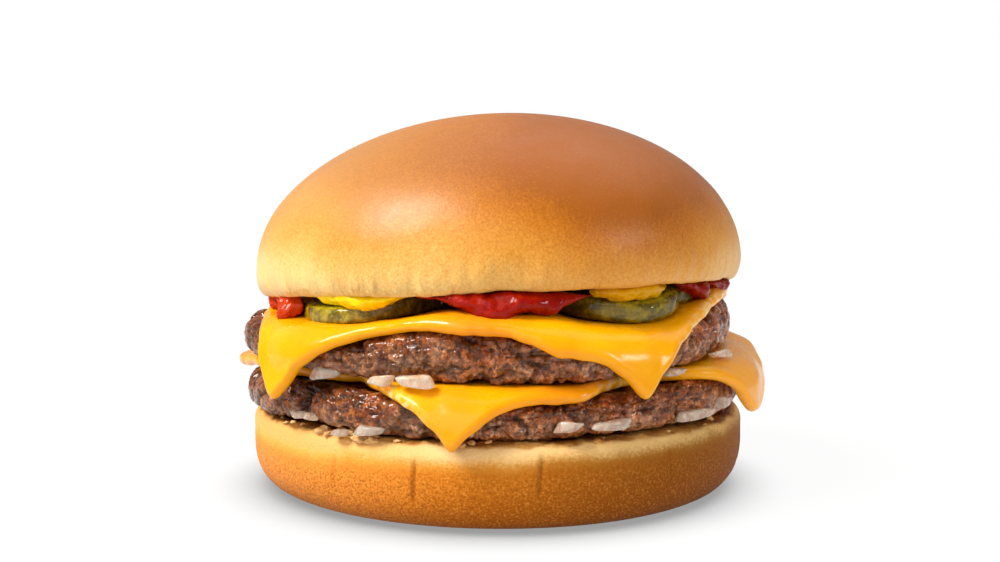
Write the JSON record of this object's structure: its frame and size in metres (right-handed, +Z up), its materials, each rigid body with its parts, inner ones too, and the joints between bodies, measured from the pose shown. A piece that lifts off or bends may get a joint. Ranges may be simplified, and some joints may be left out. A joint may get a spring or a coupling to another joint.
{
  "type": "double cheeseburger",
  "caption": "Stacked burger in a round bun: beef patties with melted cheese slices, pickle slices, ketchup, mustard and chopped onion.",
  "frame": {"origin": "middle of the lower bun's flat base", "axes": "+Z up through the stack, the front that shows both hanging cheese corners towards -Y, +X to its right"},
  "size_m": [0.1102, 0.1073, 0.0754],
  "materials": {
    "bun_crust": "smooth golden-brown baked crust with a soft sheen, paler at the rim",
    "bun_side": "matt finely grained golden-brown crust with a pale cream band and a toasted cut face",
    "patty": "coarse seared mince, dark brown with a moist shine",
    "cheese": "smooth satin melted processed cheese, orange-yellow",
    "pickle": "wet translucent olive green with a darker skin",
    "ketchup": "wet glossy deep red sauce",
    "mustard": "smooth glossy yellow sauce",
    "onion": "moist translucent white"
  },
  "bodies": {
    "root": {"bun_crown": "bun_crust", "bun_heel": "bun_side", "cheese_lower": "cheese", "cheese_upper": "cheese", "ketchup_back": "ketchup", "ketchup_front": "ketchup", "ketchup_left_1": "ketchup", "ketchup_left_2": "ketchup", "ketchup_right": "ketchup", "ketchup_side": "ketchup", "mustard_back": "mustard", "mustard_left": "mustard", "mustard_right": "mustard", "onion_lower_1": "onion", "onion_lower_10": "onion", "onion_lower_11": "onion", "onion_lower_2": "onion", "onion_lower_3": "onion", "onion_lower_4": "onion", "onion_lower_5": "onion", "onion_lower_6": "onion", "onion_lower_7": "onion", "onion_lower_8": "onion", "onion_lower_9": "onion", "onion_upper_1": "onion", "onion_upper_2": "onion", "onion_upper_3": "onion", "onion_upper_4": "onion", "onion_upper_5": "onion", "onion_upper_6": "onion", "onion_upper_7": "onion", "onion_upper_8": "onion", "onion_upper_9": "onion", "patty_lower": "patty", "patty_upper": "patty", "pickle_left": "pickle", "pickle_rear": "pickle", "pickle_right": "pickle"}
  },
  "joints": []
}
